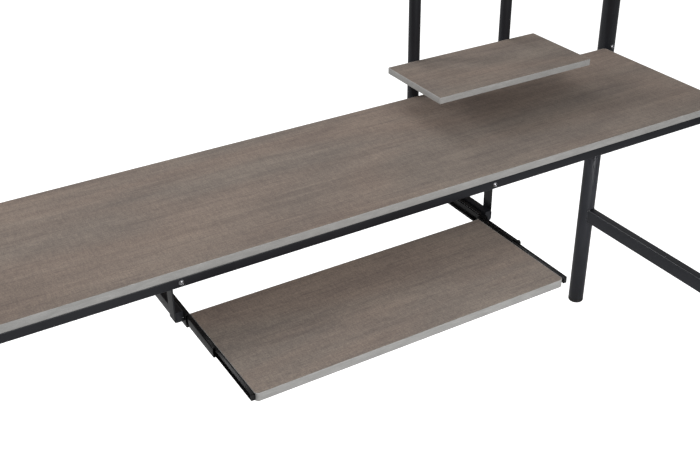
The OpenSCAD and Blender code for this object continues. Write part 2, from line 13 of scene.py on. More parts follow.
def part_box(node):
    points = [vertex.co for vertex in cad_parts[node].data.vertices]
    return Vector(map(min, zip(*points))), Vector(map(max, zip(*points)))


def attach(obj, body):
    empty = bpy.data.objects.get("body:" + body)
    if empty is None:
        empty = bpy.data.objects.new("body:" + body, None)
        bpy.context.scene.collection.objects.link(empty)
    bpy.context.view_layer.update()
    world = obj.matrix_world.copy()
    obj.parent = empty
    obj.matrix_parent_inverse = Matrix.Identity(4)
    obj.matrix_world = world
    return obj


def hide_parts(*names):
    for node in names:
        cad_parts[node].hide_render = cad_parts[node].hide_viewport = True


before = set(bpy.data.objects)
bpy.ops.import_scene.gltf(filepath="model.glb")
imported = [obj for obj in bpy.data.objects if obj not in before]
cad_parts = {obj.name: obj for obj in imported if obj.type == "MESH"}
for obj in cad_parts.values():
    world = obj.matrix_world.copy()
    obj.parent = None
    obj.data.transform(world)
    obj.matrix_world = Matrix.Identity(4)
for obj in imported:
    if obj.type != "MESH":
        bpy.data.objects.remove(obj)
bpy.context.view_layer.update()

MM = 0.001
TAU = 2 * math.pi

# ---------------------------------------------------------------- camera, floor and light

CAMERA_PLACE = (-0.7939, -1.4401, 1.6377)
CAMERA_YAW = 30.56  # degrees, clockwise from +Y
CAMERA_PITCH = 30.76  # degrees, downward
CAMERA_ROLL = -0.634  # degrees
CAMERA_LENS = 53.9  # millimetres
CAMERA_SENSOR = 36  # millimetres
CAMERA_REACH = 100

FLOOR_HALF = 40.0
FLOOR_GREY = 0.55  # what the floor reflects onto the desk
FLOOR_GLOW = 1.0  # seen by the camera only, so the floor looks evenly pale
SURROUND_GLOW = 0.33

# Name, place, the point that the light faces, size, watts, and the beam's full angle in degrees
SOFTBOXES = (
    ("front_softbox", (0.15, -2.0, 1.67), (0.0, 0.0, 0.74), (0.9, 1.3), 34, 180),
    ("back_softbox", (0.1, 1.5, 2.35), (0.1, 0.0, 0.74), (0.9, 0.9), 10, 180),
    ("far_softbox", (-3.8, 3.4, 3.3), (0.3, 0.0, 0.74), (1.6, 1.6), 138, 180),
    ("leg_strip", (0.42, -2.0, 0.25), (0.952, 0.3, 0.3), (0.2, 0.2), 0.6, 18),
)


def add_camera():
    """A camera at the front left, looking down on the desk."""
    data = bpy.data.cameras.new("camera")
    data.lens = CAMERA_LENS
    data.sensor_width = CAMERA_SENSOR
    data.clip_end = CAMERA_REACH
    camera = bpy.data.objects.new("camera", data)
    turn = Euler((math.radians(90 - CAMERA_PITCH), 0, math.radians(-CAMERA_YAW))).to_matrix()
    roll = Matrix.Rotation(math.radians(CAMERA_ROLL), 3, "Z")
    camera.matrix_world = Matrix.Translation(CAMERA_PLACE) @ (turn @ roll).to_4x4()
    bpy.context.scene.collection.objects.link(camera)
    bpy.context.scene.camera = camera


def add_floor():
    """A plain pale floor at Z = 0."""
    half = FLOOR_HALF
    mesh = bpy.data.meshes.new("studio_floor")
    corners = [(-half, -half, 0), (half, -half, 0), (half, half, 0), (-half, half, 0)]
    mesh.from_pydata(corners, [], [(0, 1, 2, 3)])
    floor = bpy.data.objects.new("studio_floor", mesh)
    bpy.context.scene.collection.objects.link(floor)
    pale = bpy.data.materials.new("pale_floor")
    pale.use_nodes = True
    shader = pale.node_tree.nodes["Principled BSDF"]
    shader.inputs["Base Color"].default_value = (FLOOR_GREY, FLOOR_GREY, FLOOR_GREY, 1)
    shader.inputs["Roughness"].default_value = 0.9
    shader.inputs["Specular IOR Level"].default_value = 0.0
    rays = pale.node_tree.nodes.new("ShaderNodeLightPath")
    glow = pale.node_tree.nodes.new("ShaderNodeMath")
    glow.operation = "MULTIPLY"
    glow.inputs[1].default_value = FLOOR_GLOW
    pale.node_tree.links.new(rays.outputs["Is Camera Ray"], glow.inputs[0])
    pale.node_tree.links.new(glow.outputs[0], shader.inputs["Emission Strength"])
    shader.inputs["Emission Color"].default_value = (1, 1, 1, 1)
    mesh.materials.append(pale)


def add_softbox(name, place, target, size, watts, spread):
    """A rectangular area light that faces a point."""
    data = bpy.data.lights.new(name, "AREA")
    data.shape = "RECTANGLE"
    data.size, data.size_y = size
    data.energy = watts
    data.spread = math.radians(spread)
    light = bpy.data.objects.new(name, data)
    light.location = place
    facing = Vector(target) - Vector(place)
    light.rotation_euler = facing.to_track_quat("-Z", "Y").to_euler()
    light.visible_camera = False
    bpy.context.scene.collection.objects.link(light)


def add_light():
    """A dim white surround and the softboxes, shown without a film look."""
    world = bpy.data.worlds.new("studio")
    world.use_nodes = True
    background = world.node_tree.nodes["Background"]
    background.inputs["Color"].default_value = (1, 1, 1, 1)
    background.inputs["Strength"].default_value = SURROUND_GLOW
    bpy.context.scene.world = world
    for softbox in SOFTBOXES:
        add_softbox(*softbox)
    bpy.context.scene.view_settings.view_transform = "Standard"


# ---------------------------------------------------------------- materials

MIX_FACTOR, MIX_FIRST, MIX_SECOND = 0, 6, 7  # the sockets of a Mix node that mixes colours
MIX_RESULT = 2


class Graph:
    """A material's node tree, with short calls for the nodes used here."""

    def __init__(self, name):
        self.material = bpy.data.materials.new(name)
        self.material.use_nodes = True
        self.tree = self.material.node_tree
        self.shader = self.tree.nodes["Principled BSDF"]
        self.place = self.node("ShaderNodeTexCoord").outputs["Object"]

    def node(self, kind, inputs=(), **settings):
        made = self.tree.nodes.new(kind)
        for key, value in settings.items():
            setattr(made, key, value)
        for key, value in dict(inputs).items():
            if isinstance(value, bpy.types.NodeSocket):
                self.tree.links.new(value, made.inputs[key])
            else:
                made.inputs[key].default_value = value
        return made

    def noise(self, stretch, detail=3.0, rough=0.5, warp=0.0, shift=(0, 0, 0)):
        """Noise whose features are about 1 / stretch metres along each axis."""
        mapping = {"Vector": self.place, "Location": shift, "Scale": stretch}
        spot = self.node("ShaderNodeMapping", mapping).outputs[0]
        inputs = {"Vector": spot, "Scale": 1.0, "Detail": detail, "Roughness": rough,
                  "Distortion": warp}
        return self.node("ShaderNodeTexNoise", inputs).outputs["Fac"]

    def span(self, value, low, high, to_low, to_high):
        """Maps low..high to to_low..to_high, and holds the ends."""
        inputs = {"Value": value, "From Min": low, "From Max": high,
                  "To Min": to_low, "To Max": to_high}
        return self.node("ShaderNodeMapRange", inputs).outputs["Result"]

    def mix(self, share, a, b, blend="MIX"):
        inputs = {MIX_FACTOR: share, MIX_FIRST: a, MIX_SECOND: b}
        made = self.node("ShaderNodeMix", inputs, data_type="RGBA", blend_type=blend)
        return made.outputs[MIX_RESULT]

    def math(self, operation, a, b):
        return self.node("ShaderNodeMath", {0: a, 1: b}, operation=operation).outputs[0]

    def bump(self, height, strength, distance, under=None):
        inputs = {"Height": height, "Strength": strength, "Distance": distance}
        if under is not None:
            inputs["Normal"] = under
        return self.node("ShaderNodeBump", inputs).outputs["Normal"]

    def finish(self, color, roughness, normal=None, **fixed):
        """Links the varying inputs and sets the constant ones on the shader itself."""
        for key, value in (("Base Color", color), ("Roughness", roughness), ("Normal", normal)):
            if value is not None:
                self.tree.links.new(value, self.shader.inputs[key])
        for key, value in fixed.items():
            self.shader.inputs[key.replace("_", " ")].default_value = value
        return self.material


# Each layer of the laminate's print: its stretch, detail, roughness and warp as noise, the range
# of the noise that is used, and the brightness at the two ends of that range
PRINT_LAYERS = {
    "patch": ((5, 16, 16), 3.0, 0.55, 0.6, (0.32, 0.68), (0.90, 1.09)),
    "streak": ((5, 85, 85), 3.0, 0.55, 0.5, (0.3, 0.7), (0.92, 1.07)),
    "line": ((7, 240, 240), 2.0, 0.5, 0.3, (0.32, 0.44), (0.88, 1.0)),
    "weft": ((300, 60, 60), 2.0, 0.6, 0.2, (0.34, 0.66), (0.92, 1.08)),
    "warp": ((48, 480, 480), 2.0, 0.6, 0.0, (0.34, 0.66), (0.93, 1.07)),
    "speck": ((460, 520, 520), 3.0, 0.65, 0.0, (0.36, 0.64), (0.84, 1.17)),
    "pore": ((45, 1100, 1100), 2.0, 0.5, 0.0, (0.30, 0.38), (0.74, 1.0)),
}


def laminate_material(name, shift):
    """Grey-brown wood print with its grain along X, linen-like cross marks and drifting tone."""
    g = Graph(name)
    drift = g.noise((1.6, 6, 6), 2.0, 0.5, 0.8, shift)
    cool, warm = (0.224, 0.188, 0.166, 1), (0.248, 0.196, 0.168, 1)
    color = g.mix(g.span(drift, 0.38, 0.62, 0, 1), cool, warm)
    layers = {}
    for key, (stretch, detail, rough, warp, used, shades) in PRINT_LAYERS.items():
        layers[key] = g.noise(stretch, detail, rough, warp, shift)
        dark, light = ((c, c, c * tint, 1) for c, tint in zip(shades, (1.01, 0.99)))
        layer = g.mix(g.span(layers[key], *used, 0, 1), dark, light)
        color = g.mix(1.0, color, layer, "MULTIPLY")
    roughness = g.span(layers["streak"], 0.3, 0.7, 0.72, 0.6)
    threads = g.math("MULTIPLY", layers["warp"], 0.6), g.math("MULTIPLY", layers["weft"], 0.4)
    height = g.math("ADD", *threads)
    normal = g.bump(layers["pore"], 0.25, 0.05 * MM, g.bump(height, 0.3, 0.1 * MM))
    return g.finish(color, roughness, normal, Specular_IOR_Level=0.16)


def edge_band_material():
    """Light grey plastic strip with a faint wood print, speckle and roller marks."""
    g = Graph("edge_band_plastic")
    mottle = g.noise((22, 22, 90), 4.0, 0.6, 0.3)
    grain = g.noise((70, 70, 800), 3.0, 0.6)
    speck = g.noise((520, 520, 700), 2.0, 0.6)
    dark, light = (0.352, 0.348, 0.338, 1), (0.445, 0.439, 0.428, 1)
    color = g.mix(g.span(mottle, 0.3, 0.7, 0, 1), dark, light)
    color = g.mix(g.span(grain, 0.38, 0.6, 0.4, 0.0), color, (0.28, 0.275, 0.265, 1))
    color = g.mix(g.span(speck, 0.36, 0.64, 0.3, 0.0), color, (0.22, 0.217, 0.21, 1))
    normal = g.bump(grain, 0.25, 0.06 * MM)
    return g.finish(color, g.span(mottle, 0.3, 0.7, 0.5, 0.62), normal, Specular_IOR_Level=0.35)


def powder_coat_material():
    """Satin black powder coat with orange peel and slight cloudiness."""
    g = Graph("black_powder_coat")
    peel = g.noise((420, 420, 420), 2.0, 0.5)
    speck = g.noise((1500, 1500, 1500), 1.0, 0.5)
    cloud = g.noise((9, 9, 9), 3.0, 0.6)
    dark, light = (0.0105, 0.0112, 0.0142, 1), (0.0145, 0.0152, 0.0190, 1)
    color = g.mix(g.span(cloud, 0.3, 0.7, 0, 1), dark, light)
    color = g.mix(g.span(speck, 0.62, 0.72, 0.0, 0.5), color, (0.03, 0.031, 0.033, 1))
    roughness = g.span(cloud, 0.3, 0.7, 0.28, 0.36)
    roughness = g.math("ADD", roughness, g.span(peel, 0.3, 0.7, 0.0, 0.05))
    normal = g.bump(speck, 0.15, 0.05 * MM, g.bump(peel, 0.25, 0.1 * MM))
    return g.finish(color, roughness, normal, Specular_IOR_Level=0.34)


def slide_material():
    """Black coated slide steel with drawn lines along the slide, painted lighter as highlight
    streaks, and a film of oil.
    """
    g = Graph("black_slide_steel")
    drawn_lines_and_highlight_streaks = g.noise((900, 14, 900), 2.0, 0.5)
    film = g.noise((40, 40, 40), 3.0, 0.6, 0.4)
    dark, light = (0.004, 0.004, 0.0045, 1), (0.010, 0.010, 0.011, 1)
    color = g.mix(g.span(film, 0.35, 0.65, 0, 1), dark, light)
    # painted highlight: lighter grey streaks along the slide where the drawn lines are; only their
    # bump is the real drawn texture
    color = g.mix(g.span(drawn_lines_and_highlight_streaks, 0.58, 0.7, 0.0, 0.5), color, (0.035, 0.035, 0.037, 1))
    normal = g.bump(drawn_lines_and_highlight_streaks, 0.2, 0.04 * MM)
    return g.finish(color, g.span(film, 0.3, 0.7, 0.16, 0.34), normal, Specular_IOR_Level=0.28)


def zinc_material():
    """Bright zinc plate, slightly mottled."""
    g = Graph("bright_zinc")
    mottle = g.noise((260, 260, 260), 3.0, 0.6)
    fine = g.noise((1600, 1600, 1600), 2.0, 0.5)
    color = g.mix(g.span(mottle, 0.3, 0.7, 0, 1), (0.30, 0.30, 0.31, 1), (0.44, 0.44, 0.46, 1))
    normal = g.bump(fine, 0.15, 0.03 * MM)
    return g.finish(color, g.span(mottle, 0.3, 0.7, 0.22, 0.38), normal, Metallic=1.0)


def plastic_material():
    """Matt black moulded plastic with a fine spark texture."""
    g = Graph("black_moulded_plastic")
    grain = g.noise((1100, 1100, 1100), 2.0, 0.6)
    cloud = g.noise((50, 50, 50), 2.0, 0.5)
    dark, light = (0.010, 0.010, 0.011, 1), (0.016, 0.016, 0.017, 1)
    color = g.mix(g.span(cloud, 0.3, 0.7, 0, 1), dark, light)
    normal = g.bump(grain, 0.35, 0.08 * MM)
    return g.finish(color, g.span(grain, 0.3, 0.7, 0.5, 0.62), normal, Specular_IOR_Level=0.4)


MATERIAL = {
    "edge_band": edge_band_material(),
    "frame_steel": powder_coat_material(),
    "slide_steel": slide_material(),
    "zinc_steel": zinc_material(),
    "black_plastic": plastic_material(),
}
LAMINATE = {
    "desktop_panel": laminate_material("laminate_desktop", (0.0, 0.0, 0.0)),
    "shelf_panel": laminate_material("laminate_shelf", (3.1, 7.7, 0.0)),
    "tray_panel": laminate_material("laminate_tray", (5.3, 2.9, 0.0)),
}

# ---------------------------------------------------------------- mesh building

SAME_POINT = 0.01 * MM  # mesh points closer than this are one point of a solid
RIM_SHARE = 0.98  # points at this share of a fastener's reach or more are on its head's rim


def loft(rings, closed=False):
    """Quads between rings of equally many points; open stacks get a flat face at each end."""
    n = len(rings[0])
    verts = [p for ring in rings for p in ring]
    faces = []
    count = len(rings)
    for k in range(count if closed else count - 1):
        a, b = k * n, (k + 1) % count * n
        faces += [(a + i, a + (i + 1) % n, b + (i + 1) % n, b + i) for i in range(n)]
    if not closed:
        faces += [tuple(range(n))[::-1], tuple(range(len(verts) - n, len(verts)))]
    return verts, faces


def join(shapes):
    """Several (verts, faces) as one."""
    verts, faces = [], []
    for v, f in shapes:
        base = len(verts)
        verts += v
        faces += [tuple(base + i for i in face) for face in f]
    return verts, faces


def moved(shape, matrix):
    return [matrix @ Vector(p) for p in shape[0]], shape[1]


def standing(shape, place, direction):
    """A shape drawn round +Z, stood on a point and turned to a direction."""
    turn = Vector(direction).to_track_quat("Z", "Y").to_matrix().to_4x4()
    return moved(shape, Matrix.Translation(place) @ turn)


def piece(name, shape, slot, body="frame", nodes=(), material=None, smooth=35):
    """Makes one object of the model from a shape. smooth is the largest smoothly shaded angle."""
    mesh = bpy.data.meshes.new(name)
    mesh.from_pydata([tuple(p) for p in shape[0]], [], shape[1])
    bm = bmesh.new()
    bm.from_mesh(mesh)
    bmesh.ops.recalc_face_normals(bm, faces=bm.faces)
    bm.to_mesh(mesh)
    bm.free()
    mesh.shade_smooth()
    mesh.set_sharp_from_angle(angle=math.radians(smooth))
    mesh.materials.append(material or MATERIAL[slot])
    obj = bpy.data.objects.new(name, mesh)
    bpy.context.scene.collection.objects.link(obj)
    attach(obj, body)
    if nodes:
        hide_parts(*nodes)
    return obj


def solids(node):
    """The points of each separate solid of a CAD node."""
    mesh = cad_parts[node].data
    parent = {}

    def root(i):
        while parent.setdefault(i, i) != i:
            parent[i] = parent[parent[i]]
            i = parent[i]
        return i

    spots = [tuple(round(c / SAME_POINT) for c in v.co) for v in mesh.vertices]
    for polygon in mesh.polygons:
        first, *rest = polygon.vertices
        for other in rest:
            parent[root(spots[other])] = root(spots[first])
    groups = {}
    for v, spot in zip(mesh.vertices, spots):
        groups.setdefault(root(spot), []).append(v.co.copy())
    return [groups[key] for key in sorted(groups)]


def limits(points):
    low = Vector([min(p[i] for p in points) for i in range(3)])
    high = Vector([max(p[i] for p in points) for i in range(3)])
    return low, high


def fasteners(node):
    """(seat point, direction of the head, shank length) of each bolt, screw or rivet in a node."""
    found = []
    for points in solids(node):
        low, high = limits(points)
        axis = max(range(3), key=lambda i: (high - low)[i])
        middle = (low + high) / 2
        across = [i for i in range(3) if i != axis]
        reach = [math.hypot(*[(p - middle)[i] for i in across]) for p in points]
        rim = [p[axis] for p, r in zip(points, reach) if r > RIM_SHARE * max(reach)]
        sign = 1 if sum(rim) / len(rim) > middle[axis] else -1
        seat = middle.copy()
        seat[axis] = min(rim) if sign > 0 else max(rim)
        direction = Vector((0, 0, 0))
        direction[axis] = sign
        tip = low[axis] if sign > 0 else high[axis]
        found.append((seat, direction, abs(seat[axis] - tip)))
    return found


# ---------------------------------------------------------------- turned shapes

POINT = 0.02 * MM  # the smallest radius, so that a turned shape closes without a doubled point
UNDER_HEAD = 0.8 * MM  # plain shank between the thread and the head
INTO_HEAD = 0.05 * MM  # how far the shank runs into the head
THREAD_BORE = 3.1 * MM  # the radius of a nut's, insert's or block's bore


def circle(radius, z, count=48):
    return [(radius * math.cos(TAU * i / count), radius * math.sin(TAU * i / count), z)
            for i in range(count)]


def turned(profile, count=48):
    """A solid of revolution from (radius, z) points, from the bottom to the top."""
    return loft([circle(max(r, POINT), z, count) for r, z in profile])


def arc(center, radius, start, end, steps):
    """(x, y) points on an arc, with angles in degrees."""
    angles = [math.radians(start + (end - start) * k / steps) for k in range(steps + 1)]
    return [(center[0] + radius * math.cos(a), center[1] + radius * math.sin(a)) for a in angles]


def hex_reach(angle, apothem):
    """Distance from a hexagon's middle to its side, in a direction."""
    return apothem / math.cos((angle + math.pi / 6) % (math.pi / 3) - math.pi / 6)


def cross_reach(angle, arm, half):
    """Distance from a cross recess's middle to its edge, in a direction."""
    a = abs((angle + math.pi / 4) % (math.pi / 2) - math.pi / 4)
    return min(arm / math.cos(a), half / math.sin(a) if a > 0 else arm)


def shaped(count, reach, height):
    """A ring whose radius and height follow the direction."""
    ring = []
    for i in range(count):
        a = TAU * i / count
        r = reach(a)
        ring.append((r * math.cos(a), r * math.sin(a), height(r)))
    return ring


def thread(radius, bottom, top, pitch=1.0 * MM, depth=0.35 * MM, count=32):
    """Rings for a shank with thread ridges, from the bottom to the top."""
    rings = [circle(radius - 1.5 * depth, bottom, count)]
    z = bottom + pitch / 2
    while z + pitch < top:
        rings.append(circle(radius, z, count))
        rings.append(circle(radius - depth, z + pitch / 2, count))
        z += pitch
    return rings + [circle(radius, top, count)]


def bolt_shape(length, radius=3 * MM, head=5 * MM, rise=3.4 * MM, count=48):
    """Domed head with a hex recess on Z = 0, and a threaded shank below."""
    dome = (head * head + rise * rise) / (2 * rise)
    apothem = 2.0 * MM
    lead_in = 0.25 * MM
    recess_floor = 1.2 * MM

    def dome_z(r):
        return rise - dome + math.sqrt(max(dome * dome - r * r, 0))

    def hexagon(size):
        return lambda a: hex_reach(a, size)

    rings = thread(radius, -length, -UNDER_HEAD, count=count)
    rings += [circle(radius, INTO_HEAD, count), circle(head - 0.25 * MM, 0, count)]
    rings.append(circle(head, 0.3 * MM, count))
    for share in (0.93, 0.82, 0.68, 0.56):
        rings.append(circle(head * share, dome_z(head * share), count))
    rings.append(shaped(count, hexagon(apothem + lead_in), dome_z))
    rings.append(shaped(count, hexagon(apothem), lambda r: dome_z(r) - lead_in))
    rings.append(shaped(count, hexagon(apothem), lambda r: recess_floor))
    rings.append(circle(0.2 * MM, recess_floor - 0.4 * MM, count))
    return loft(rings)


def screw_shape(length, radius=2 * MM, head=4 * MM, rise=2.2 * MM, count=48):
    """Pan head with a cross recess on Z = 0, and a tapered threaded shank below."""
    taper = 2 * MM
    pitch, depth = 1.4 * MM, 0.5 * MM
    rings = [circle(0.1 * MM, -length, count), circle(radius * 0.6, -length + taper, count)]
    rings += thread(radius, -length + taper + 0.2 * MM, -UNDER_HEAD, pitch, depth, count)
    rings += [circle(radius, INTO_HEAD, count), circle(head - 0.2 * MM, 0, count)]
    rings.append(circle(head, 0.35 * MM, count))

    def pan(r):
        return rise * (0.45 + 0.55 * math.sqrt(max(1 - (r / head) ** 2, 0)))

    for share in (0.97, 0.85, 0.7, 0.62):
        rings.append(circle(head * share, pan(head * share), count))
    arm, half = head * 0.5, head * 0.13
    rings.append(shaped(count, lambda a: cross_reach(a, arm, half), pan))
    rings.append(shaped(count, lambda a: cross_reach(a, arm * 0.6, half * 0.8),
                        lambda r: rise * 0.35))
    rings.append(circle(0.05 * MM, rise * 0.2, count))
    return loft(rings)


def rivet_shape(length, radius=2 * MM, head=3 * MM, rise=0.7 * MM, count=32):
    """Flat rivet head on Z = 0 with a rounded rim and a drawn dimple."""
    return turned([(radius, -length), (radius, 0.02 * MM), (head - 0.1 * MM, 0), (head, 0.15 * MM),
                   (head * 0.96, rise * 0.7), (head * 0.85, rise * 0.95), (head * 0.5, rise),
                   (head * 0.4, rise * 0.8), (head * 0.2, rise * 0.7)], count)


def nut_shape(height, apothem=5 * MM, bore=THREAD_BORE, count=48):
    """Hex nut on Z = 0 with chamfered corners and a chamfered bore."""
    face = apothem * 0.96
    slope = 0.5
    bore_depth, bore_flare = 0.5 * MM, 0.4 * MM

    def drop(r):
        return (r - face) * slope

    def hexagon(a):
        return hex_reach(a, apothem)

    lower = [(bore, bore_depth), (bore + bore_flare, 0), (face, 0)]
    rings = [circle(r, z, count) for r, z in lower]
    rings.append(shaped(count, hexagon, drop))
    rings.append(shaped(count, hexagon, lambda r: height - drop(r)))
    rings += [circle(r, height - z, count) for r, z in reversed(lower)]
    return loft(rings, closed=True)


# ---------------------------------------------------------------- straight bars and boards

def corner_center(x, y, radius, start):
    """The middle of a rounded corner at (x, y), whose arc begins at the angle start."""
    diagonal = math.radians(start + 45)
    return (x - math.copysign(radius, math.cos(diagonal)),
            y - math.copysign(radius, math.sin(diagonal)))


def rounded_loop(low, high, radius, steps=4):
    """A rounded rectangle as (a, b) points, anticlockwise."""
    corners = ((high[0], high[1], 0), (low[0], high[1], 90),
               (low[0], low[1], 180), (high[0], low[1], 270))
    points = []
    for x, y, start in corners:
        points += arc(corner_center(x, y, radius, start), radius, start, start + 90, steps)
    return points


def along(axis, at, a, b):
    """The point at a place on an axis, with a and b on the other two axes in order."""
    point = [a, b]
    point.insert(axis, at)
    return tuple(point)


def bar_shape(low, high, axis, radius, start=None, end=None):
    """A bar with rounded long edges, which stop at the box's ends or where start and end say."""
    others = [i for i in range(3) if i != axis]
    loop = rounded_loop([low[i] for i in others], [high[i] for i in others], radius)
    first = [along(axis, start(a, b) if start else low[axis], a, b) for a, b in loop]
    last = [along(axis, end(a, b) if end else high[axis], a, b) for a, b in loop]
    return loft([first, last])


def coped(center_x, center_y, radius, sign):
    """Where a bar along Y meets a round tube, as a function of X."""
    def stop(x, _z):
        return center_y + sign * math.sqrt(max(radius ** 2 - (x - center_x) ** 2, 0))
    return stop


BEAD_STEP = 0.5 * MM
BEAD_RIPPLE = 2.2 * MM
SIDE_BAR_BEAD = 1.7 * MM
SHELF_ARM_BEAD = 1.5 * MM
CROSS_BAR_BEAD = 1.4 * MM
HANGER_BEAD = 1.2 * MM


def bead_shape(path, radius, closed=True, steps=10):
    """A weld bead with ripples, along a path of points. An open bead tapers at its ends."""
    points = [Vector(p) for p in path]
    if closed:
        points.append(points[0])
    fine = []
    for a, b in zip(points, points[1:]):
        count = max(1, round((b - a).length / BEAD_STEP))
        fine += [a.lerp(b, k / count) for k in range(count)]
    if not closed:
        fine.append(points[-1])
    rings, walked = [], 0.0
    total = len(fine)
    for i, p in enumerate(fine):
        before = fine[i - 1 if closed or i else 0]
        after = fine[(i + 1) % total if closed else min(i + 1, total - 1)]
        ahead = (after - before).normalized()
        side = ahead.orthogonal() if not rings else side - ahead * side.dot(ahead)
        side.normalize()
        up = ahead.cross(side)
        from_end = min(i, total - 1 - i)
        taper = 1.0 if closed else min(1.0, 0.35 + 0.65 * from_end / 4)
        phase = walked / BEAD_RIPPLE
        r = radius * taper * (0.88 + 0.12 * math.cos(TAU * phase) + 0.05 * math.sin(37.0 * phase))
        turns = [TAU * k / steps for k in range(steps)]
        rings.append([tuple(p + side * r * math.cos(t) + up * r * math.sin(t)) for t in turns])
        walked += (after - p).length
    return loft(rings, closed=closed)


def board_outline(low, high, front_r, back_r, inset, steps=6):
    """A board's outline, shrunk by inset, with its front (low Y) and back corners rounded."""
    corners = ((high[0], high[1], back_r, 0), (low[0], high[1], back_r, 90),
               (low[0], low[1], front_r, 180), (high[0], low[1], front_r, 270))
    points = []
    for x, y, r, start in corners:
        center = corner_center(x, y, r, start)
        points += arc(center, max(r - inset, 0.05 * MM), start, start + 90, steps)
    return points


def at_height(outline, z):
    return [(x, y, z) for x, y in outline]


BAND = 1 * MM  # the edge band's thickness
BAND_ROUND = 0.7 * MM  # the rounding of its edges
SEAM = 0.12 * MM  # the groove between the band and the panel


def board_pieces(prefix, body, front_r, back_r):
    """The panel with its laminate faces, and the band round it with softened edges."""
    panel_node, band_node = prefix + "_panel", prefix + "_edge_band"
    low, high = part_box(band_node)
    bottom, top = low.z, high.z

    def ring(inset, z):
        return at_height(board_outline(low, high, front_r, back_r, inset), z)

    panel = loft([ring(BAND + SEAM, bottom), ring(BAND, bottom + SEAM),
                  ring(BAND, top - SEAM), ring(BAND + SEAM, top)])
    piece(prefix + "_board", panel, "laminate", body, [panel_node], LAMINATE[panel_node], 20)
    section = [(BAND, bottom + SEAM), (BAND - SEAM, bottom)]
    section += [(BAND_ROUND + dx, bottom + BAND_ROUND + dz)
                for dx, dz in arc((0, 0), BAND_ROUND, 270, 180, 4)]
    section += [(BAND_ROUND + dx, top - BAND_ROUND + dz)
                for dx, dz in arc((0, 0), BAND_ROUND, 180, 90, 4)]
    section += [(BAND - SEAM, top), (BAND, top - SEAM)]
    band = loft([ring(inset, z) for inset, z in section], closed=True)
    piece(prefix + "_band", band, "edge_band", body, [band_node], smooth=40)


# ---------------------------------------------------------------- frame pieces

TUBE_ROUND = 1.6 * MM  # the long edges of the small rectangular tubes
SIDE_BAR_ROUND = 2.2 * MM
TOP_RAIL_ROUND = 2 * MM
RIM = 0.5 * MM  # the softened rims of round tubes
RIM_MIDDLE = 0.15 * MM
SIDES = ("left", "right")


def center_of(node):
    low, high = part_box(node)
    return (low + high) / 2


def radius_of(node):
    """The radius of a node that is a round upright tube."""
    low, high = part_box(node)
    return (high.x - low.x) / 2


def straight_bar(node, axis, radius=TUBE_ROUND, **ends):
    shape = bar_shape(*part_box(node), axis, radius, **ends)
    piece(node + "_tube", shape, "frame_steel", nodes=[node])


def round_tube(node):
    """A round tube with softened rims."""
    low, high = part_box(node)
    r = radius_of(node)
    middle = center_of(node)
    height = high.z - low.z
    lower = [(r - RIM, 0), (r - RIM_MIDDLE, RIM_MIDDLE), (r, RIM)]
    upper = [(radius, height - z) for radius, z in reversed(lower)]
    shape = moved(turned(lower + upper, 64), Matrix.Translation((middle.x, middle.y, low.z)))
    piece(node + "_tube", shape, "frame_steel", nodes=[node])


def leg_ends(side):
    """The Y stops of a bar between the back and the front leg of one side."""
    back, front = center_of(side + "_back_leg"), center_of(side + "_front_leg")
    r = radius_of(side + "_back_leg")
    return {"start": coped(front.x, front.y, r, 1), "end": coped(back.x, back.y, r, -1)}


def joint_path(low, high, stop, radius=TUBE_ROUND):
    """The line where a bar along Y meets a round tube."""
    loop = rounded_loop((low.x, low.z), (high.x, high.z), radius)
    return [(x, stop(x, z), z) for x, z in loop]


def side_frame(side):
    """The legs and bars at one end of the desk. Returns its weld beads."""
    for part in ("_front_leg", "_back_leg", "_upright"):
        round_tube(side + part)
    ends = leg_ends(side)
    beads = []
    for node in (side + "_top_bar", side + "_lower_bar"):
        straight_bar(node, 1, SIDE_BAR_ROUND, **ends)
        low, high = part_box(node)
        beads += [bead_shape(joint_path(low, high, stop, SIDE_BAR_ROUND), SIDE_BAR_BEAD)
                  for stop in ends.values()]
    return beads


def top_rail_piece():
    """The rail between the uprights, coped round them."""
    low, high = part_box("top_rail")
    left, right = (center_of(side + "_upright") for side in SIDES)
    r = radius_of("left_upright")

    def stop(center, sign):
        return lambda y, _z: center.x + sign * math.sqrt(max(r ** 2 - (y - center.y) ** 2, 0))

    shape = bar_shape(low, high, 0, TOP_RAIL_ROUND, stop(left, 1), stop(right, -1))
    piece("top_rail_tube", shape, "frame_steel", nodes=["top_rail"])


def open_path(low, high, y, gap=0.4 * MM):
    """A path at one Y: down one side of a bar, along its underside and up its other side."""
    top, bottom = high.z - 3 * MM, low.z - gap
    left, right = low.x - gap, high.x + gap
    return [(left, y, top), (left, y, bottom), (right, y, bottom), (right, y, top)]


def rail_plug(points, rail_end):
    """One rail end cap: a thin softened face, and a stem inside the tube."""
    low, high = limits(points)
    sign = 1 if low.x > 0 else -1
    rings = []
    for out, inset in ((0.0, 0.2), (0.2, 0.0), (0.6, 0.0), (1.0, 0.3), (1.2, 0.9)):
        inset *= MM
        loop = rounded_loop((low.y + inset, low.z + inset), (high.y - inset, high.z - inset),
                            TUBE_ROUND)
        rings.append([(sign * (rail_end + out * MM), y, z) for y, z in loop])
    clear = 1.9 * MM  # from the tube's outside to the stem
    near, far = sorted((sign * (rail_end - 3 * MM), sign * rail_end))
    stem = bar_shape((near, low.y + clear, low.z + clear), (far, high.y - clear, high.z - clear),
                     0, 0.8 * MM)
    return [loft(rings), stem]


def rails():
    """Front and back rails, cross bars and end caps. Returns weld beads."""
    for node in ("front_rail", "back_rail"):
        straight_bar(node, 0)
    beads = []
    for place in ("left", "middle", "right"):
        node = place + "_cross_bar"
        straight_bar(node, 1)
        low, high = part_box(node)
        for y in (low.y, high.y):
            beads.append(bead_shape(open_path(low, high, y), CROSS_BAR_BEAD, closed=False))
    rail_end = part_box("front_rail")[1].x
    caps = []
    for points in solids("rail_end_caps"):
        caps += rail_plug(points, rail_end)
    piece("rail_plugs", join(caps), "black_plastic", nodes=["rail_end_caps"])
    return beads


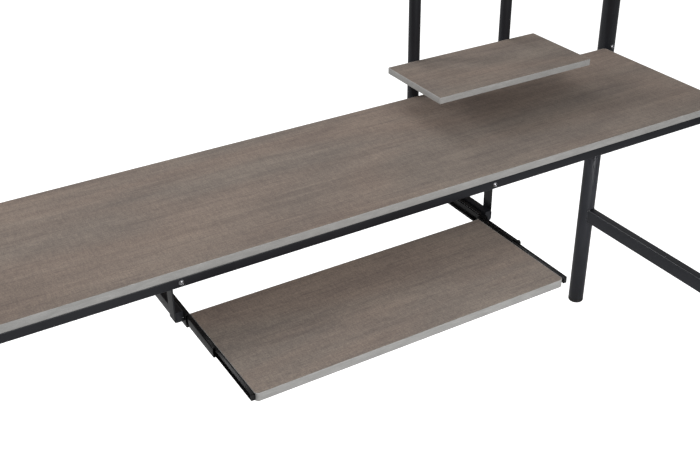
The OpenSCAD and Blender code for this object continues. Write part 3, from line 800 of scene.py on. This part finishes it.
def plug_shape(radius, rim_h, stem_h, stem_r):
    """A tube's end plug with a rounded, dimpled face on Z = 0 and a ribbed stem."""
    edge = 4 * MM
    core_r = stem_r - 0.8 * MM
    rib_pitch = 3 * MM
    profile = [(radius * 0.3, 0.5 * MM), (radius * 0.55, 0.4 * MM), (radius * 0.6, 0.0),
               (radius - edge, 0.0)]
    profile += arc((radius - edge, edge), edge, -75, 0, 6)
    profile += [(radius, rim_h - 0.3 * MM), (radius - 0.3 * MM, rim_h), (core_r, rim_h)]
    z = rim_h + 1 * MM
    while z + rib_pitch < rim_h + stem_h:
        profile += [(core_r, z), (stem_r, z + 0.5 * MM), (stem_r - 0.2 * MM, z + 1.5 * MM),
                    (core_r, z + 1.8 * MM)]
        z += rib_pitch
    profile.append((stem_r - 1.5 * MM, rim_h + stem_h))
    return turned(profile, 64)


def leg_plugs():
    """Foot caps and top caps of the legs and uprights."""
    radius = radius_of("left_back_leg")
    foot_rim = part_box("left_back_leg")[0].z
    top_rim = 8 * MM
    for node, name, rim_h, up in (("foot_caps", "foot_plugs", foot_rim, 1),
                                  ("leg_top_caps", "top_plugs", top_rim, -1)):
        shapes = []
        for points in solids(node):
            low, high = limits(points)
            middle = (low + high) / 2
            face = low.z if up > 0 else high.z
            plug = plug_shape(radius, rim_h, high.z - low.z - rim_h, radius - 1.7 * MM)
            shapes.append(standing(plug, (middle.x, middle.y, face), (0, 0, up)))
        piece(name, join(shapes), "black_plastic", nodes=[node], smooth=30)


def ring_shape(low, high, bore):
    """An upright ring or sleeve with chamfered rims, which fills a box. bore is a radius."""
    r = (high.x - low.x) / 2
    middle = (low + high) / 2
    rings = [(bore, low.z + RIM), (bore + RIM, low.z), (r - RIM, low.z), (r, low.z + RIM),
             (r, high.z - RIM), (r - RIM, high.z), (bore + RIM, high.z), (bore, high.z - RIM)]
    shape = loft([circle(a, z) for a, z in rings], closed=True)
    return moved(shape, Matrix.Translation((middle.x, middle.y, 0)))


def sleeves():
    """The zinc sleeves inside the leg joints."""
    wall = 2 * MM
    for side in SIDES:
        node = side + "_leg_sleeve"
        shape = ring_shape(*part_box(node), radius_of(node) - wall)
        piece(side + "_sleeve_tube", shape, "zinc_steel", nodes=[node])


# ---------------------------------------------------------------- hutch and raised shelf

def shelf_supports():
    """The two posts and the arms on them. Returns weld beads."""
    beads = []
    for side in SIDES:
        post = side + "_shelf_post"
        round_tube(post)
        middle = center_of(post)
        stop = coped(middle.x, middle.y, radius_of(post), -1)
        arm = side + "_shelf_arm"
        straight_bar(arm, 1, TUBE_ROUND, end=stop)
        beads.append(bead_shape(joint_path(*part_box(arm), stop), SHELF_ARM_BEAD))
    return beads


def block_shape(low, high, count=48):
    """A square block with a round bore along X."""
    middle = (low + high) / 2
    half_y, half_z = (high.y - low.y) / 2, (high.z - low.z) / 2

    def ring(x, reach):
        turns = [TAU * i / count for i in range(count)]
        return [(x, middle.y + reach(a) * math.cos(a), middle.z + reach(a) * math.sin(a))
                for a in turns]

    def side(a):
        return min(half_y / max(abs(math.cos(a)), 1e-9), half_z / max(abs(math.sin(a)), 1e-9))

    def bore(_a):
        return THREAD_BORE

    rings = [ring(low.x, side), ring(high.x, side), ring(high.x, bore), ring(low.x, bore)]
    return loft(rings, closed=True)


def inserts():
    """Threaded inserts in the posts and threaded blocks in the top rail."""
    rings = [ring_shape(*limits(points), THREAD_BORE) for points in solids("post_inserts")]
    piece("post_insert_rings", join(rings), "zinc_steel", nodes=["post_inserts"])
    blocks = [block_shape(*limits(points)) for points in solids("top_rail_nuts")]
    piece("top_rail_blocks", join(blocks), "zinc_steel", nodes=["top_rail_nuts"], smooth=30)


# ---------------------------------------------------------------- tray hangers

SHEET = 2 * MM  # the plates' thickness
SHEET_BEND = 3 * MM  # the outside radius of a bend
EAR = 22 * MM  # the ear's height


def hanger_shape(node, front):
    """A plate with an ear at its top turned in against the rail, with a rounded bend."""
    low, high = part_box(node)
    outward = 1 if low.x > 0 else -1
    inward = -1 if front else 1
    width, depth = high.x - low.x, high.y - low.y
    corner_x = high.x if outward > 0 else low.x
    corner_y = low.y if front else high.y
    center = (SHEET_BEND, SHEET_BEND)
    soft = 0.25 * MM

    def ring(z, inset, eared):
        """The outline in X and Y; without the ear its points lie on the plate's edge."""
        points = [(width - inset, inset)] + arc(center, SHEET_BEND - inset, 270, 180, 5)
        points += [(inset, depth - inset), (SHEET - inset, depth - inset)]
        points += arc(center, SHEET_BEND - SHEET + inset, 180, 270, 5)
        points.append((width - inset, SHEET - inset))
        if not eared:
            points = [(min(a, SHEET - inset), b) for a, b in points]
        return [(corner_x - outward * a, corner_y - inward * b, z) for a, b in points]

    fold = high.z - EAR
    return loft([ring(low.z, soft, False), ring(low.z + soft, 0, False), ring(fold, 0, False),
                 ring(fold, 0, True), ring(high.z - soft, 0, True), ring(high.z, soft, True)])


def hangers():
    """Front and rear plates and the bars between them. Returns weld beads."""
    beads = []
    for side in SIDES:
        bar = side + "_hanger_bar"
        straight_bar(bar, 1, 1.2 * MM)
        low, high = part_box(bar)
        outer_x = max(low.x, high.x, key=abs)
        for end in ("front", "rear"):
            node = f"{side}_hanger_{end}"
            piece(node + "_plate", hanger_shape(node, end == "front"), "frame_steel", nodes=[node])
            plate_low, plate_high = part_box(node)
            edge_y = low.y if end == "front" else high.y
            for z in (low.z, high.z):
                path = [(outer_x, plate_low.y + 3 * MM, z), (outer_x, plate_high.y - 3 * MM, z)]
                beads.append(bead_shape(path, HANGER_BEAD, closed=False))
            path = [(outer_x, edge_y, low.z + 3 * MM), (outer_x, edge_y, high.z - 1 * MM)]
            beads.append(bead_shape(path, HANGER_BEAD, closed=False))
    return beads


# ---------------------------------------------------------------- slides

# A slide's sections are drawn in (u, v): u is outward from the tray's edge, and v is up from the
# slide's middle. Each member has its (low u, high u), half height, wall, bend, and whether its web
# is at the high u, away from the tray.
FIXED_SECTION = ((4 * MM, 12.7 * MM), 13 * MM, 1.2 * MM, 2.4 * MM, True)
MIDDLE_SECTION = ((3.5 * MM, 10.3 * MM), 9.5 * MM, 1.0 * MM, 2.2 * MM, True)
INNER_SECTION = ((0.0, 7.5 * MM), 6.2 * MM, 1.2 * MM, 2.2 * MM, False)
# Blocks on the members' ends: the range of u, the length along Y, and the range of v
FIXED_STOP = ((4 * MM, 11.6 * MM), 2 * MM, (-12.4 * MM, -9 * MM))
MIDDLE_LUG = ((4.5 * MM, 9.3 * MM), 5 * MM, (8.6 * MM, 11.4 * MM))
INNER_NOSE = ((0.0, 7.5 * MM), 1.2 * MM, (-6.2 * MM, 6.2 * MM))
NOSE_ROUND = 1.8 * MM
# The u of a cage's web and of its lips' edges, and the v of its balls
OUTER_CAGE = (10.65 * MM, 5 * MM, 10.65 * MM)
INNER_CAGE = (8.15 * MM, 3.5 * MM, 7.35 * MM)
CAGE_SHEET = 0.5 * MM
BALL_RADIUS = 0.9 * MM
BALLS = 7


def channel_loop(u_range, half_h, wall, bend, web_at_high):
    """A C section with round bends and rounded lips."""
    u0, u1 = u_range
    lip = wall / 2
    corner = (u1 - bend, half_h - bend)
    points = arc(corner, bend, 0, 90, 5) + arc((u0 + lip, half_h - lip), lip, 90, 270, 6)
    points += arc(corner, bend - wall, 90, 0, 5)
    loop = points + [(u, -v) for u, v in reversed(points)]
    return loop if web_at_high else [(u0 + u1 - u, v) for u, v in loop]


@functools.cache
def slide_datum(side):
    """The sign of outward X, the X of the tray's edge, and the Z of the slide's middle."""
    sign = -1 if side == "left" else 1
    return sign, abs(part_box("tray_edge_band")[1].x), center_of(side + "_inner_slide").z


def slide_point(side, u, y, v):
    """A place in X, Y and Z from slide coordinates."""
    sign, edge, middle_z = slide_datum(side)
    return (sign * (edge + u), y, middle_z + v)


def slide_shape(side, node, section):
    """A slide member along its CAD node's length, with eased ends."""
    low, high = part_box(node)
    loop = channel_loop(*section)
    middle_u = sum(section[0]) / 2
    ease, shrink = 0.3 * MM, 0.985
    rings = []
    for y, scale in ((low.y, shrink), (low.y + ease, 1.0), (high.y - ease, 1.0), (high.y, shrink)):
        rings.append([slide_point(side, middle_u + (u - middle_u) * scale, y, v * scale)
                      for u, v in loop])
    return loft(rings)


def slide_box(side, u, y, v, radius=0.4 * MM):
    """A small block along Y, between two places in slide coordinates."""
    ends = zip(slide_point(side, u[0], y[0], v[0]), slide_point(side, u[1], y[1], v[1]))
    low, high = zip(*(sorted(pair) for pair in ends))
    return bar_shape(low, high, 1, radius)


def ball_shape(radius, steps=8):
    """A ball round the origin."""
    turns = [math.pi * k / steps for k in range(steps + 1)]
    return turned([(radius * math.sin(t), -radius * math.cos(t)) for t in turns], 16)


def cage_shape(side, node, web_u, lip_u, ball_v):
    """A ball cage: a folded strip with rows of balls in its lips."""
    low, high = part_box(node)
    length = (low.y, high.y)
    back_u = web_u + CAGE_SHEET
    shapes = [slide_box(side, (web_u, back_u), length, (-ball_v, ball_v), 0.2 * MM)]
    pitch = (high.y - low.y) / BALLS
    for v in (-ball_v, ball_v):
        lip_v = (v - CAGE_SHEET / 2, v + CAGE_SHEET / 2)
        shapes.append(slide_box(side, (lip_u, back_u), length, lip_v, 0.2 * MM))
        for i in range(BALLS):
            center = slide_point(side, (web_u + lip_u) / 2, low.y + (i + 0.5) * pitch, v)
            shapes.append(moved(ball_shape(BALL_RADIUS), Matrix.Translation(center)))
    return join(shapes)


def slides():
    """Three nested members and two ball cages on each side."""
    for side in SIDES:
        fixed, middle, inner = (f"{side}_{part}_slide" for part in ("fixed", "middle", "inner"))
        u, length, v = FIXED_STOP
        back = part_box(fixed)[1].y
        stop = slide_box(side, u, (back - length, back), v)
        body = slide_shape(side, fixed, FIXED_SECTION)
        piece(fixed + "_member", join([body, stop]), "slide_steel", nodes=[fixed])
        u, length, v = MIDDLE_LUG
        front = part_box(middle)[0].y
        lug = slide_box(side, u, (front, front + length), v)
        body = slide_shape(side, middle, MIDDLE_SECTION)
        piece(middle + "_member", join([body, lug]), "slide_steel", side + "_middle", [middle])
        u, length, v = INNER_NOSE
        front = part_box(inner)[0].y
        nose = slide_box(side, u, (front, front + length), v, NOSE_ROUND)
        body = slide_shape(side, inner, INNER_SECTION)
        piece(inner + "_member", join([body, nose]), "slide_steel", "tray", [inner])
        for cage, sizes in (("outer", OUTER_CAGE), ("inner", INNER_CAGE)):
            node = f"{side}_{cage}_cage"
            shape = cage_shape(side, node, *sizes)
            piece(node + "_balls", shape, "zinc_steel", f"{side}_{cage}_balls", [node])


# ---------------------------------------------------------------- fasteners

def fastener_piece(name, node, make, body="frame"):
    """All the bolts, screws or rivets of one CAD node as one piece."""
    shapes = [standing(make(length), seat, direction)
              for seat, direction, length in fasteners(node)]
    piece(name, join(shapes), "zinc_steel", body, [node], smooth=32)


def nut_piece(name, node):
    """All the hex nuts of one CAD node, which lie along Y."""
    shapes = []
    for points in solids(node):
        low, high = limits(points)
        middle = (low + high) / 2
        shapes.append(standing(nut_shape(high.y - low.y), (middle.x, low.y, middle.z), (0, 1, 0)))
    piece(name, join(shapes), "zinc_steel", nodes=[node], smooth=25)


def all_fasteners():
    """The bolts, screws, rivets and nuts."""
    for name, node in (("frame_bolt_set", "frame_bolts"), ("leg_bolt_set", "leg_bolts"),
                       ("hutch_bolt_set", "hutch_bolts"), ("hanger_bolt_set", "hanger_bolts")):
        fastener_piece(name, node, bolt_shape)
    fastener_piece("desktop_screw_set", "desktop_screws", screw_shape)
    fastener_piece("shelf_screw_set", "shelf_screws", screw_shape)
    fastener_piece("slide_rivet_set", "slide_rivets", rivet_shape)
    fastener_piece("tray_screw_set", "tray_screws",
                   lambda length: screw_shape(length, 1.5 * MM, 2.2 * MM, 1.6 * MM), "tray")
    nut_piece("hutch_nut_set", "hutch_nuts")
    nut_piece("hanger_nut_set", "hanger_nuts")


# ---------------------------------------------------------------- the whole desk

# Each board's body, and the radii of its front and back corners
BOARDS = {
    "desktop": ("frame", 10 * MM, 10 * MM),
    "shelf": ("frame", 3 * MM, 3 * MM),
    "tray": ("tray", 8 * MM, 1.4 * MM),
}


def build():
    add_camera()
    add_floor()
    add_light()
    for prefix, (body, front_r, back_r) in BOARDS.items():
        board_pieces(prefix, body, front_r, back_r)
    beads = rails()
    for side in SIDES:
        beads += side_frame(side)
    beads += shelf_supports()
    beads += hangers()
    piece("weld_beads", join(beads), "frame_steel", smooth=60)
    top_rail_piece()
    leg_plugs()
    sleeves()
    inserts()
    slides()
    all_fasteners()


build()
bpy.context.view_layer.update()
